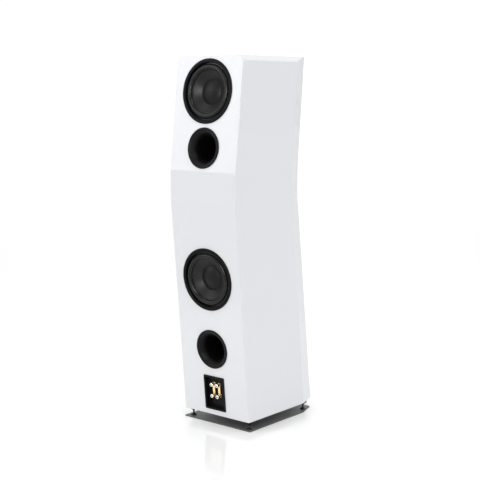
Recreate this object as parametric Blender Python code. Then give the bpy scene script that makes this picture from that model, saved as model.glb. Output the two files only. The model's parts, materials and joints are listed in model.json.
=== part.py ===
"""Floorstanding loudspeaker with a bowed cabinet, modelled as separate solids.

Metres, +Z up, the front faces -Y. The origin is on the floor, at the centre of the whole
object's footprint. Run with: blender --background --python part.py
"""

import math

import bmesh
import bpy
from mathutils import Matrix, Vector

MM = 0.001
GAP = 0.0003  # air left between two pieces that touch

# Cabinet. Heights are above its underside. It bows backwards at the two bends.
UNDERSIDE_Z = 0.030
HALF_WIDTH = 0.141
CABINET_HEIGHT = 1.185
LOWER_BEND = 0.720
UPPER_BEND = 0.815
REAR_BULGE_Y = 0.2166
REAR_SETBACK_BOTTOM = 0.066
REAR_SETBACK_TOP = 0.042
SIDE_DEPTH = (0.296, 0.289, 0.289, 0.277)  # at the underside, the two bends and the top
FACET_DEPTH = (0.073, 0.063, 0.063, 0.0665)
FACET_WIDTH = 0.024
TOP_CHAMFER_WIDTH = 0.0155
TOP_CHAMFER_DROP = 0.018
REAR_WALL = 0.022
FRONT_WALL = 0.022
SIDE_WALL = 0.020
FACET_WALL = 0.021  # across X, where the side wall turns inwards behind the facet
FACET_TURN = 0.003
SHELF_WALL = 0.018

# Middle chamber and brace, heights above the underside
CHAMBER_FLOOR = 0.515
CHAMBER_LID = 1.003
CHAMBER_BACK_Y = 0.010
BRACE_HEIGHT = 0.322
BRACE_WINDOW = (0.090, 0.116)
BRACE_WINDOW_SPACING = (0.112, 0.136)
BRACE_CENTRE_Y = 0.020

# Drive units and ports: face, height of the centre, outer radius
TWEETER_HEIGHT = 0.7675
WOOFER_HEIGHTS = {"lower": 0.465, "upper": 1.072}
MID_HEIGHTS = {"lower": TWEETER_HEIGHT - 0.148, "upper": TWEETER_HEIGHT + 0.148}
PORT_HEIGHTS = {"lower": 0.229, "upper": 0.892}
WOOFER_RADIUS = 0.104
MID_RADIUS = 0.090
WOOFER_CUTOUT = 96.5 / 104  # of the outer radius
TWEETER_CUTOUT = 0.0345
PORT_CUTOUT = 0.054
WOOFER_SEGMENTS = 20
PORT_SEGMENTS = 24
MID_SEGMENTS = 16
SMALL_SEGMENTS = 12

# Terminals, heights above the underside
CUP_HEIGHT = 0.077
CUP_CUTOUT = (0.0405, 0.055)
POST_HEIGHTS = (0.105, 0.066)
POST_HALF_SPACING = 0.0115

# Base
PLATE_HALF_WIDTH = 0.145
PLATE_REAR_Y = 0.1506
PLATE_SIDE_END_Y = -0.139
PLATE_FRONT_Y = -0.208
PLATE_FRONT_HALF_WIDTH = 0.121
PLATE_THICKNESS = 0.003
WAIST_Z = 0.0135
REAR_FOOT = (0.124, 0.128)
FRONT_FOOT = (0.121, -0.167)

MATERIALS = {
    "gloss_white": ((0.86, 0.87, 0.89), 0.12, 0.0),
    "fibreboard": ((0.46, 0.34, 0.23), 0.80, 0.0),
    "driver_frame": ((0.012, 0.012, 0.013), 0.45, 0.0),
    "cone": ((0.035, 0.036, 0.038), 0.50, 0.0),
    "rubber_black": ((0.015, 0.015, 0.015), 0.35, 0.0),
    "spider_cloth": ((0.55, 0.42, 0.18), 0.85, 0.0),
    "magnet_steel": ((0.20, 0.20, 0.21), 0.40, 1.0),
    "dome": ((0.55, 0.56, 0.58), 0.30, 1.0),
    "port_black": ((0.012, 0.012, 0.013), 0.45, 0.0),
    "terminal_black": ((0.014, 0.014, 0.015), 0.40, 0.0),
    "post_gold": ((0.80, 0.62, 0.32), 0.20, 1.0),
    "knob_metal": ((0.85, 0.80, 0.70), 0.22, 1.0),
    "board_green": ((0.03, 0.16, 0.07), 0.55, 0.0),
    "copper": ((0.72, 0.33, 0.16), 0.30, 1.0),
    "capacitor_film": ((0.75, 0.60, 0.12), 0.40, 0.0),
    "base_gloss_black": ((0.010, 0.010, 0.011), 0.08, 0.0),
    "foot_black": ((0.010, 0.010, 0.010), 0.30, 0.0),
}


def clear_scene():
    for obj in list(bpy.data.objects):
        bpy.data.objects.remove(obj, do_unlink=True)


def material(name):
    """The named Principled material, made the first time it is asked for."""
    if name in bpy.data.materials:
        return bpy.data.materials[name]
    colour, roughness, metallic = MATERIALS[name]
    made = bpy.data.materials.new(name)
    made.use_nodes = True
    shader = made.node_tree.nodes["Principled BSDF"]
    shader.inputs["Base Color"].default_value = (*colour, 1.0)
    shader.inputs["Roughness"].default_value = roughness
    shader.inputs["Metallic"].default_value = metallic
    made.diffuse_color = (*colour, 1.0)
    return made


def add_object(name, shape, material_name, place=None, smooth=False):
    """Make an object from a bmesh, facing out, placed by a matrix."""
    bmesh.ops.recalc_face_normals(shape, faces=shape.faces)
    mesh = bpy.data.meshes.new(name)
    shape.to_mesh(mesh)
    shape.free()
    if smooth:
        mesh.shade_smooth()
        mesh.set_sharp_from_angle(angle=math.radians(35))
    mesh.materials.append(material(material_name))
    obj = bpy.data.objects.new(name, mesh)
    bpy.context.scene.collection.objects.link(obj)
    if place is not None:
        obj.matrix_world = place
    return obj


def loft(sections):
    """A closed bmesh through sections of equal point count, with both ends capped."""
    shape = bmesh.new()
    rings = [[shape.verts.new(point) for point in section] for section in sections]
    count = len(rings[0])
    for below, above in zip(rings, rings[1:]):
        for i in range(count):
            j = (i + 1) % count
            shape.faces.new((below[i], below[j], above[j], above[i]))
    shape.faces.new(reversed(rings[0]))
    shape.faces.new(rings[-1])
    return shape


def turned(profile, segments, scale=MM):
    """A body of revolution about Z. The profile is a closed loop, or starts and ends on the axis."""
    shape = bmesh.new()
    rings = []
    for radius, height in profile:
        if radius == 0:
            rings.append([shape.verts.new((0, 0, height * scale))])
            continue
        angles = [2 * math.pi * i / segments for i in range(segments)]
        rings.append(
            [
                shape.verts.new(
                    (radius * math.cos(a) * scale, radius * math.sin(a) * scale, height * scale)
                )
                for a in angles
            ]
        )
    pairs = list(zip(rings, rings[1:]))
    if len(rings[0]) > 1:
        pairs.append((rings[-1], rings[0]))
    for first, second in pairs:
        for i in range(segments):
            j = (i + 1) % segments
            corners = [first[i % len(first)], first[j % len(first)]]
            corners += [second[j % len(second)], second[i % len(second)]]
            corners = list(dict.fromkeys(corners))
            if len(corners) > 2:
                shape.faces.new(corners)
    return shape


def arc(centre, radius, start, end, points):
    """Points (r, h) on a circular arc between two angles in degrees."""
    steps = [math.radians(start + (end - start) * i / (points - 1)) for i in range(points)]
    return [
        (centre[0] + radius * math.cos(a), centre[1] + radius * math.sin(a)) for a in steps
    ]


def box(x, y, z):
    """A box bmesh between the limits given for each axis."""
    corners = [(x[0], y[0]), (x[1], y[0]), (x[1], y[1]), (x[0], y[1])]
    return loft([[(px, py, pz) for px, py in corners] for pz in z])


def cut(obj, shape, place, name):
    """Take a cutter's shape out of an object."""
    cutter = add_object(name, shape, "fibreboard", place)
    cutter.hide_render = True
    cutter.display_type = "WIRE"
    modifier = obj.modifiers.new(name, "BOOLEAN")
    modifier.operation = "DIFFERENCE"
    modifier.solver = "EXACT"
    modifier.object = cutter


# The cabinet's outline at any height


def along(height, values):
    """A value at a height, from its values at the underside, the bends and the top."""
    stations = (0.0, LOWER_BEND, UPPER_BEND, CABINET_HEIGHT)
    for i in range(3):
        if height <= stations[i + 1] or i == 2:
            share = (height - stations[i]) / (stations[i + 1] - stations[i])
            return values[i] + share * (values[i + 1] - values[i])
    return values[-1]


def rear_y(height):
    setbacks = (REAR_SETBACK_BOTTOM, 0.0, 0.0, REAR_SETBACK_TOP)
    return REAR_BULGE_Y - along(height, setbacks)


def side_front_y(height):
    return rear_y(height) - along(height, SIDE_DEPTH)


def front_y(height):
    return side_front_y(height) - along(height, FACET_DEPTH)


def half_width(height):
    """Half the width, which the chamfer along each top edge narrows."""
    above = max(0.0, height - (CABINET_HEIGHT - TOP_CHAMFER_DROP))
    return HALF_WIDTH - above * TOP_CHAMFER_WIDTH / TOP_CHAMFER_DROP


def facet_x(height, y):
    """X of the tapered facet at a height, where it passes y."""
    return HALF_WIDTH - (side_front_y(height) - y) * FACET_WIDTH / along(height, FACET_DEPTH)


def facet_y(height, x):
    """Y of the tapered facet at a height, where it passes x."""
    return side_front_y(height) - (HALF_WIDTH - x) * along(height, FACET_DEPTH) / FACET_WIDTH


def face_place(face, height, x=0.0):
    """A frame on the cabinet's rear or front: local Z points out of it, local Y up along it."""
    surface = rear_y if face == "rear" else front_y
    step = 0.01
    up = Vector((0, surface(height + step) - surface(height - step), 2 * step)).normalized()
    out = Vector((0, up.z, -up.y)) if face == "rear" else Vector((0, -up.z, up.y))
    side = up.cross(out)
    place = Matrix((side, up, out)).transposed().to_4x4()
    place.translation = (x, surface(height), UNDERSIDE_Z + height)
    return place


# Cabinet


def levels(low, high):
    """Heights between two limits at which the cabinet's outline bends."""
    bends = (LOWER_BEND, UPPER_BEND, CABINET_HEIGHT - TOP_CHAMFER_DROP)
    return [low, *[bend for bend in bends if low < bend < high], high]


def inner_outline(height, rear, front):
    """The space between the side walls at a height, from y = rear to y = front."""
    z = UNDERSIDE_Z + height
    wide = HALF_WIDTH - SIDE_WALL - GAP
    turn = side_front_y(height) + FACET_TURN
    narrow = facet_x(height, front) - FACET_WALL - GAP
    right = [(wide, rear, z), (wide, turn, z), (narrow, front, z)]
    return right + [(-px, py, pz) for px, py, pz in reversed(right)]


def make_side_panel(name, side):
    sections = []
    for height in levels(0.0, CABINET_HEIGHT):
        z = UNDERSIDE_Z + height
        rear = rear_y(height) - REAR_WALL - GAP
        front = front_y(height) + FRONT_WALL + GAP
        outer = half_width(height)
        facet = facet_x(height, front)
        inner = HALF_WIDTH - SIDE_WALL
        outline = [
            (outer, rear),
            (outer, facet_y(height, outer)),
            (facet, front),
            (facet - FACET_WALL, front),
            (inner, side_front_y(height) + FACET_TURN),
            (inner, rear),
        ]
        sections.append([(side * x, y, z) for x, y in outline])
    add_object(name, loft(sections), "gloss_white")


def make_rear_panel():
    sections = []
    for height in levels(0.0, CABINET_HEIGHT):
        z = UNDERSIDE_Z + height
        x = half_width(height)
        y = rear_y(height)
        sections.append([(-x, y, z), (x, y, z), (x, y - REAR_WALL, z), (-x, y - REAR_WALL, z)])
    panel = add_object("rear_panel", loft(sections), "gloss_white")
    for where, height in WOOFER_HEIGHTS.items():
        radius = WOOFER_RADIUS * WOOFER_CUTOUT
        hole = turned(cylinder(radius, -0.06, 0.03), WOOFER_SEGMENTS, 1.0)
        cut(panel, hole, face_place("rear", height), f"cut_woofer_{where}")
    for where, height in PORT_HEIGHTS.items():
        hole = turned(cylinder(PORT_CUTOUT, -0.06, 0.03), PORT_SEGMENTS, 1.0)
        cut(panel, hole, face_place("rear", height), f"cut_port_{where}")
    wide, tall = CUP_CUTOUT
    hole = box((-wide, wide), (-tall, tall), (-0.06, 0.03))
    cut(panel, hole, face_place("rear", CUP_HEIGHT), "cut_terminal_cup")


def make_front_baffle():
    sections = []
    for height in levels(0.0, CABINET_HEIGHT):
        z = UNDERSIDE_Z + height
        front = front_y(height)
        back = front + FRONT_WALL
        narrow = facet_x(height, front)
        wide = facet_x(height, back)
        sections.append([(-narrow, front, z), (narrow, front, z), (wide, back, z), (-wide, back, z)])
    baffle = add_object("front_baffle", loft(sections), "gloss_white")
    for where, height in MID_HEIGHTS.items():
        hole = turned(cylinder(MID_RADIUS * WOOFER_CUTOUT, -0.06, 0.03), MID_SEGMENTS, 1.0)
        cut(baffle, hole, face_place("front", height), f"cut_mid_{where}")
    hole = turned(cylinder(TWEETER_CUTOUT, -0.06, 0.03), MID_SEGMENTS, 1.0)
    cut(baffle, hole, face_place("front", TWEETER_HEIGHT), "cut_tweeter")


def cylinder(radius, low, high):
    """Profile of a plain cylinder, for turned()."""
    return [(0, high), (radius, high), (radius, low), (0, low)]


def make_shelf(name, low, high, back_y=None, material_name="fibreboard"):
    """A horizontal board between the side walls; back_y None runs it to the rear panel."""
    sections = []
    for height in (low, high):
        rear = rear_y(height) - REAR_WALL - GAP if back_y is None else back_y
        front = front_y(height) + FRONT_WALL + GAP
        sections.append(inner_outline(height, rear, front))
    return add_object(name, loft(sections), material_name)


def make_cabinet():
    make_side_panel("side_panel_right", 1)
    make_side_panel("side_panel_left", -1)
    make_rear_panel()
    make_front_baffle()
    make_shelf("top_panel", CABINET_HEIGHT - 0.022, CABINET_HEIGHT, material_name="gloss_white")
    make_shelf("bottom_panel", 0.0, 0.022, material_name="gloss_white")
    back = CHAMBER_BACK_Y + SHELF_WALL
    make_shelf("chamber_floor", CHAMBER_FLOOR, CHAMBER_FLOOR + SHELF_WALL, back)
    make_shelf("chamber_lid", CHAMBER_LID, CHAMBER_LID + SHELF_WALL, back)
    x = HALF_WIDTH - SIDE_WALL - GAP
    low = UNDERSIDE_Z + CHAMBER_FLOOR + SHELF_WALL + GAP
    high = UNDERSIDE_Z + CHAMBER_LID - GAP
    add_object("chamber_back", box((-x, x), (CHAMBER_BACK_Y, back), (low, high)), "fibreboard")
    brace = make_shelf("window_brace", BRACE_HEIGHT, BRACE_HEIGHT + SHELF_WALL)
    wide, deep = BRACE_WINDOW
    across, apart = BRACE_WINDOW_SPACING
    for column in (-1, 1):
        for row in (-1, 1):
            hole = box((-wide / 2, wide / 2), (-deep / 2, deep / 2), (-0.03, 0.03))
            y = BRACE_CENTRE_Y + row * apart / 2
            centre = (column * across / 2, y, UNDERSIDE_Z + BRACE_HEIGHT)
            cut(brace, hole, Matrix.Translation(centre), f"cut_brace_{column}_{row}")


# Drive units: profiles are (radius, height) in millimetres for a unit of 104 mm outer radius,
# with height 0 on the cabinet's face


FRAME_PROFILE = [
    (91.5, 4.0), (104, 4.0), (104, 0.3), (95.5, 0.3), (95.5, -18), (59, -47), (59, -78),
    (26, -78), (26, -75), (55.5, -75), (55.5, -48), (51, -48), (51, -45.2), (55, -45.2),
    (91.5, -16.5), (91.5, -9.5), (87.5, -9.5), (87.5, -6.5), (91.5, -6.5),
]
MOTOR_PROFILE = [
    (0, -80), (18.2, -80), (18.2, -104), (21.8, -104), (21.8, -78.4), (58, -78.4),
    (60, -86), (60, -104), (52, -110), (0, -110),
]
CONE_PROFILE = [
    (0, -11), (20, -12.8), (33, -16.9), (40, -21.5), (68.4, -4.4), (68.4, -6), (40.6, -23.3),
    (20.6, -32), (20.6, -92), (19.4, -92), (19.4, -30.5), (38, -22.3), (32, -18.2),
    (19.5, -14.3), (0, -12.6),
]
SPIDER_PROFILE = [
    (21, -43.5), (27, -41), (33, -44.5), (39, -41), (45, -44.5), (54, -43.9), (54, -44.9),
    (45, -45.6), (39, -42.2), (33, -45.6), (27, -42.2), (21, -44.7),
]
SURROUND_CENTRE = 78
SURROUND_RADIUS = 8.8


def surround_profile():
    """A half roll between the cone's rim and the frame's ledge."""
    centre = (SURROUND_CENTRE, -5.0)
    outer = arc(centre, SURROUND_RADIUS, 180, 0, 7)
    inner = arc(centre, SURROUND_RADIUS - 1.2, 0, 180, 7)
    rim = [(91.1, -5.0), (91.1, -6.2), (86.4, -6.2)]
    return outer + rim + inner[1:-1] + [(70.3, -6.2), (68.8, -6.2)]


def make_drive_unit(name, place, radius, segments, with_spider):
    scale = MM * radius * 1000 / 104
    frame = add_object(
        f"{name}_frame", turned(FRAME_PROFILE, segments, scale), "driver_frame", place, True
    )
    for i in range(2):
        window = box((-20 * scale, 20 * scale), (-0.2, 0.2), (-44 * scale, -22 * scale))
        turn = Matrix.Rotation(math.pi / 2 * i + math.pi / 4, 4, "Z")
        cut(frame, window, place @ turn, f"cut_{name}_window_{i}")
    add_object(
        f"{name}_motor", turned(MOTOR_PROFILE, segments, scale), "magnet_steel", place, True
    )
    add_object(f"{name}_cone", turned(CONE_PROFILE, segments, scale), "cone", place, True)
    add_object(
        f"{name}_surround", turned(surround_profile(), segments, scale), "rubber_black", place, True
    )
    if with_spider:
        add_object(
            f"{name}_spider", turned(SPIDER_PROFILE, segments, scale), "spider_cloth", place, True
        )


def make_tweeter():
    place = face_place("front", TWEETER_HEIGHT)
    plate = [
        (42, 0.3), (42, 2.2), (41, 3.0), (31, 2.6), (22, 0.0), (14.8, -5.0), (14.8, -9.0),
        (33.5, -9.0), (33.5, 0.3),
    ]
    dome = [
        (0, -0.4), (5, -1.0), (9.5, -3.0), (12.6, -6.0), (14.4, -6.4), (14.4, -7.0),
        (13, -7.2), (13, -14), (12.4, -14), (12.4, -7.0), (9, -4.0), (5, -2.0), (0, -1.4),
    ]
    motor = [
        (0, -9.6), (11.6, -9.6), (11.6, -16), (13.8, -16), (13.8, -9.3), (32, -9.3),
        (32, -30), (28, -34), (0, -34),
    ]
    add_object("tweeter_faceplate", turned(plate, MID_SEGMENTS), "driver_frame", place, True)
    add_object("tweeter_dome", turned(dome, MID_SEGMENTS), "dome", place, True)
    add_object("tweeter_motor", turned(motor, MID_SEGMENTS), "magnet_steel", place, True)


def make_ports():
    profile = [
        (66, 0.3), (66, 2.2), (64.6, 3.2), (61, 2.8), (54, -0.4), (48, -6), (43.6, -14),
        (41, -26), (41, -150), (44, -150), (44, -26), (53.5, -11), (53.5, 0.3),
    ]
    for where, height in PORT_HEIGHTS.items():
        place = face_place("rear", height)
        add_object(f"port_{where}", turned(profile, PORT_SEGMENTS), "port_black", place, True)


# Terminals


def make_terminals():
    place = face_place("rear", CUP_HEIGHT)
    rings = [
        (40, 54.5, -17), (40, 54.5, 0.3), (44.5, 59, 0.3), (44.5, 59, 2.0), (43.5, 58, 3.0),
        (38, 52.5, 3.0), (37, 51.5, -14),
    ]
    sections = [
        [(sx * x * MM, sy * y * MM, z * MM) for sx, sy in ((-1, -1), (1, -1), (1, 1), (-1, 1))]
        for x, y, z in rings
    ]
    cup = add_object("terminal_cup", loft(sections), "terminal_black", place)
    posts = [
        (height, side * POST_HALF_SPACING) for height in POST_HEIGHTS for side in (-1, 1)
    ]
    for i, (height, x) in enumerate(posts, start=1):
        post = face_place("rear", height, x)
        cut(cup, turned(cylinder(0.0034, -0.03, 0), SMALL_SEGMENTS, 1.0), post, f"cut_post_{i}")
        make_post(i, post)
    for name, x in (("left", -POST_HALF_SPACING), ("right", POST_HALF_SPACING)):
        make_jumper(f"jumper_{name}", x)


def make_post(number, place):
    stud = [
        (0, 1), (2.4, 1), (3, 0.4), (3, -11), (6.5, -11), (6.5, -13.7), (3.1, -13.7),
        (3.1, -26), (0, -26),
    ]
    washer = [(3.3, -7.7), (6.3, -7.7), (6.3, -9.2), (3.3, -9.2)]
    knob = [
        (0, 5), (4.6, 5), (6.4, 4.2), (7, 3), (7, -6), (5.8, -7.4), (3.4, -7.4), (3.4, 2), (0, 2),
    ]
    add_object(f"post_{number}_stud", turned(stud, SMALL_SEGMENTS), "post_gold", place, True)
    add_object(f"post_{number}_washer", turned(washer, SMALL_SEGMENTS), "post_gold", place, True)
    add_object(f"post_{number}_knob", turned(knob, SMALL_SEGMENTS), "knob_metal", place, True)


def make_jumper(name, x):
    """A flat strap over two studs, with round ends."""
    place = face_place("rear", sum(POST_HEIGHTS) / 2, x)
    reach = (POST_HEIGHTS[0] - POST_HEIGHTS[1]) / 2 / place.col[1].z / MM
    outline = []
    for end in (1, -1):
        for i in range(7):
            angle = math.radians(30 * i) + (0 if end > 0 else math.pi)
            outline.append((4.8 * math.cos(angle), end * reach + 4.8 * math.sin(angle)))
    sections = [[(px * MM, py * MM, h * MM) for px, py in outline] for h in (-10.7, -9.5)]
    strap = add_object(name, loft(sections), "post_gold", place)
    for end in (1, -1):
        hole = turned(cylinder(0.0033, -0.02, 0), SMALL_SEGMENTS, 1.0)
        cut(strap, hole, place @ Matrix.Translation((0, end * reach * MM, 0)), f"cut_{name}_{end}")


def make_crossover():
    low = UNDERSIDE_Z + 0.022 + GAP
    board = box((-0.080, 0.080), (-0.080, 0.050), (low, low + 0.002))
    add_object("crossover_board", board, "board_green")
    top = Matrix.Translation((0, 0, low + 0.002 + GAP))
    coil = turned([(12, 0), (12, 26), (30, 26), (30, 0)], MID_SEGMENTS)
    add_object(
        "crossover_coil", coil, "copper", top @ Matrix.Translation((-0.040, 0.010, 0)), True
    )
    can = turned(cylinder(0.016, -0.03, 0.03), SMALL_SEGMENTS, 1.0)
    lying = Matrix.Translation((0.035, -0.030, 0.0162)) @ Matrix.Rotation(math.pi / 2, 4, "Y")
    add_object("crossover_capacitor", can, "capacitor_film", top @ lying, True)


# Base


def make_base():
    right = [
        (PLATE_HALF_WIDTH, PLATE_REAR_Y),
        (PLATE_HALF_WIDTH, PLATE_SIDE_END_Y),
        (PLATE_FRONT_HALF_WIDTH, PLATE_FRONT_Y),
    ]
    outline = right + [(-x, y) for x, y in reversed(right)]
    sections = [[(x, y, z) for x, y in outline] for z in (0, PLATE_THICKNESS)]
    add_object("base_plate", loft(sections), "base_gloss_black")
    feet = {
        "rear_right": REAR_FOOT,
        "rear_left": (-REAR_FOOT[0], REAR_FOOT[1]),
        "front_right": FRONT_FOOT,
        "front_left": (-FRONT_FOOT[0], FRONT_FOOT[1]),
    }
    for where, (x, y) in feet.items():
        place = Matrix.Translation((x, y, 0))
        add_object(
            f"spike_{where}", turned(spike_profile(), SMALL_SEGMENTS, 1.0), "foot_black", place, True
        )
        add_object(
            f"spike_shoe_{where}", turned(shoe_profile(), SMALL_SEGMENTS, 1.0), "foot_black", place, True
        )


def spike_profile():
    """A trumpet, wide under the cabinet and narrow at the waist."""
    low = WAIST_Z + GAP
    high = UNDERSIDE_Z - GAP
    rim, tip = 0.0032, 0.0024
    points = []
    for i in range(6):
        share = 1 - i / 5
        points.append((0.0026 + 0.0112 * share**1.7, low + tip + (high - low - rim - tip) * share))
    return [(0, high), (points[0][0], high), *points, (0, low)]


def shoe_profile():
    """A low cone on the base plate, under the spike's tip."""
    low = PLATE_THICKNESS + GAP
    return [(0, WAIST_Z), (0.0030, WAIST_Z), (0.0062, 0.0095), (0.0105, 0.0060), (0.0105, low), (0, low)]


def main():
    clear_scene()
    make_cabinet()
    for where, height in WOOFER_HEIGHTS.items():
        place = face_place("rear", height)
        make_drive_unit(f"woofer_{where}", place, WOOFER_RADIUS, WOOFER_SEGMENTS, True)
    for where, height in MID_HEIGHTS.items():
        place = face_place("front", height)
        make_drive_unit(f"mid_{where}", place, MID_RADIUS, MID_SEGMENTS, False)
    make_tweeter()
    make_ports()
    make_terminals()
    make_crossover()
    make_base()


main()
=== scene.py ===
"""Looks for a floorstanding loudspeaker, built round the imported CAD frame.

Everything is in metres in the frame's own axes: +Z up, +Y the rear with the bass units.
Turned and extruded profiles are in millimetres, (radius or x, height above the face, fillet).
"""

import json
import math

import bmesh
import bpy
import numpy as np
from mathutils import Matrix, Vector


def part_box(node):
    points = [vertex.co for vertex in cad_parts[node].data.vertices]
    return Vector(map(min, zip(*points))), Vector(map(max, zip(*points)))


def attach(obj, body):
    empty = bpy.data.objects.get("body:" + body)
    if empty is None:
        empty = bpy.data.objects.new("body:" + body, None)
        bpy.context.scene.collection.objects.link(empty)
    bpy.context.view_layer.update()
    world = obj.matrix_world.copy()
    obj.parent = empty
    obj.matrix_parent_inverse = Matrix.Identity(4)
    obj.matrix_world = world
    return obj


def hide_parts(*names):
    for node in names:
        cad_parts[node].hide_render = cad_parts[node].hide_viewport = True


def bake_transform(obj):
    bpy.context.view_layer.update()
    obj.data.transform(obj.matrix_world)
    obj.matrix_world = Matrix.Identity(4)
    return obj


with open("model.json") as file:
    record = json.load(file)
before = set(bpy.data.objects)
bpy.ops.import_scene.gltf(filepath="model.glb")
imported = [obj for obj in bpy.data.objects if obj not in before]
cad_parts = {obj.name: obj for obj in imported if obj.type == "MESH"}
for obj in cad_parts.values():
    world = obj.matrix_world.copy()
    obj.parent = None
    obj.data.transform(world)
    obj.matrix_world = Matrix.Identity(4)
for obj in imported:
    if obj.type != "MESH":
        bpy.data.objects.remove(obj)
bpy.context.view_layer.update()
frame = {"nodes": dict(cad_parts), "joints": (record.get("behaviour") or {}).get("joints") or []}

MM = 0.001
ROUND = 128  # segments of a large turned piece
FINE = 48  # segments of a small one
UNIT_RADIUS = 104  # of the drive unit that the profiles below are drawn for, in mm
UNIT_HOLE = 96.5  # radius of the cabinet's hole for it
UNIT_FLANGE = 4.0  # how far each part's rim stands proud of the cabinet, in mm
PORT_FLANGE = 3.2
TWEETER_FLANGE = 3.0
CUP_FLANGE = 3.0
AXES = {joint["name"]: Vector(joint["axis"]) for joint in frame["joints"]}
REAR_LOW = AXES["woofer_lower_travel"]
REAR_HIGH = AXES["woofer_upper_travel"]


# Materials


class Look:
    """A node material under construction, with short calls for the nodes it needs."""

    def __init__(self, name, colour, roughness, metallic=0.0, **sockets):
        self.material = bpy.data.materials.new(name)
        self.material.use_nodes = True
        self.tree = self.material.node_tree
        self.shader = self.tree.nodes["Principled BSDF"]
        self.set("Base Color", (*colour, 1.0))
        self.set("Roughness", roughness)
        self.set("Metallic", metallic)
        for socket, value in sockets.items():
            self.set(socket.replace("_", " "), value)
        self.coordinates = self.node("ShaderNodeTexCoord").outputs["Object"]
        self.height = None

    def set(self, socket, value):
        self.shader.inputs[socket].default_value = value

    def node(self, kind, **settings):
        made = self.tree.nodes.new(kind)
        for key, value in settings.items():
            setattr(made, key, value)
        return made

    def link(self, source, target):
        self.tree.links.new(source, target)

    def math(self, operation, a, b=None):
        made = self.node("ShaderNodeMath", operation=operation)
        for i, value in enumerate((a, b)):
            if value is None:
                continue
            if isinstance(value, (int, float)):
                made.inputs[i].default_value = value
            else:
                self.link(value, made.inputs[i])
        return made.outputs[0]

    def noise(self, scale, detail=2.0, roughness=0.5):
        made = self.node("ShaderNodeTexNoise")
        made.inputs["Scale"].default_value = scale
        made.inputs["Detail"].default_value = detail
        made.inputs["Roughness"].default_value = roughness
        self.link(self.coordinates, made.inputs["Vector"])
        return made.outputs["Fac"]

    def radius(self):
        """Distance from the piece's own Z axis."""
        split = self.node("ShaderNodeSeparateXYZ")
        self.link(self.coordinates, split.inputs[0])
        square = self.math("MULTIPLY", split.outputs["X"], split.outputs["X"])
        other = self.math("MULTIPLY", split.outputs["Y"], split.outputs["Y"])
        return self.math("SQRT", self.math("ADD", square, other))

    def axis(self, letter):
        split = self.node("ShaderNodeSeparateXYZ")
        self.link(self.coordinates, split.inputs[0])
        return split.outputs[letter]

    def wave(self, source, spacing, sharpness=1.0):
        """0 to 1 to 0 over each spacing of a length."""
        turn = self.math("MULTIPLY", source, 2 * math.pi / spacing)
        wave = self.math("MULTIPLY_ADD", self.math("COSINE", turn), 0.5)
        wave.node.inputs[2].default_value = 0.5
        return self.math("POWER", wave, sharpness) if sharpness != 1.0 else wave

    def spread(self, source, low, high, socket):
        """Drives a shader socket between two values by a 0 to 1 source."""
        made = self.node("ShaderNodeMapRange")
        made.inputs["To Min"].default_value = low
        made.inputs["To Max"].default_value = high
        made.inputs["From Min"].default_value = 0.3
        made.inputs["From Max"].default_value = 0.7
        self.link(source, made.inputs["Value"])
        self.link(made.outputs["Result"], self.shader.inputs[socket])

    def tint(self, source, first, second, low=0.3, high=0.7):
        """Base colour between two colours by a 0 to 1 source."""
        ramp = self.node("ShaderNodeValToRGB")
        ramp.color_ramp.elements[0].position = low
        ramp.color_ramp.elements[0].color = (*first, 1.0)
        ramp.color_ramp.elements[1].position = high
        ramp.color_ramp.elements[1].color = (*second, 1.0)
        self.link(source, ramp.inputs["Fac"])
        self.link(ramp.outputs["Color"], self.shader.inputs["Base Color"])

    def relief(self, source, depth):
        """Adds a relief of that depth in metres to the bump."""
        scaled = self.math("MULTIPLY", source, depth)
        self.height = scaled if self.height is None else self.math("ADD", self.height, scaled)

    def done(self):
        if self.height is not None:
            bump = self.node("ShaderNodeBump")
            bump.inputs["Strength"].default_value = 1.0
            bump.inputs["Distance"].default_value = 1.0
            self.link(self.height, bump.inputs["Height"])
            self.link(bump.outputs["Normal"], self.shader.inputs["Normal"])
        return self.material


def white_lacquer():
    look = Look("white_lacquer", (0.775, 0.785, 0.81), 0.30, Coat_Weight=1.0)
    look.set("Coat Roughness", 0.02)
    look.set("Coat IOR", 1.6)
    look.set("Specular IOR Level", 0.0)
    look.spread(look.noise(3.0, 3.0), 0.28, 0.33, "Roughness")
    look.tint(look.noise(1.6, 2.0), (0.770, 0.780, 0.806), (0.780, 0.790, 0.813))
    look.relief(look.noise(260.0, 2.0), 0.0000011)
    return look.done()


def raw_board():
    look = Look("raw_fibreboard", (0.46, 0.34, 0.23), 0.85)
    look.tint(look.noise(900.0, 6.0, 0.7), (0.34, 0.245, 0.16), (0.56, 0.43, 0.30))
    look.relief(look.noise(1500.0, 4.0), 0.00006)
    look.relief(look.noise(60.0, 2.0), 0.00008)
    return look.done()


def powder_black():
    look = Look("satin_black_frame", (0.004, 0.004, 0.0044), 0.42, Specular_IOR_Level=0.10)
    look.relief(look.noise(2600.0, 3.0, 0.6), 0.00002)
    look.spread(look.noise(90.0, 4.0), 0.38, 0.50, "Roughness")
    look.tint(look.noise(400.0, 3.0), (0.003, 0.003, 0.0033), (0.005, 0.005, 0.0055))
    return look.done()


def cone_fibre():
    look = Look("cone_coated_fibre", (0.007, 0.0073, 0.008), 0.34, Specular_IOR_Level=0.25)
    radius = look.radius()
    look.relief(look.wave(radius, 0.0016, 1.0), 0.000008)
    look.relief(look.noise(700.0, 3.0, 0.5), 0.000008)
    look.spread(look.noise(240.0, 4.0, 0.6), 0.33, 0.44, "Roughness")
    look.tint(look.noise(500.0, 6.0, 0.7), (0.006, 0.0062, 0.007), (0.010, 0.0103, 0.011))
    return look.done()


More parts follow.
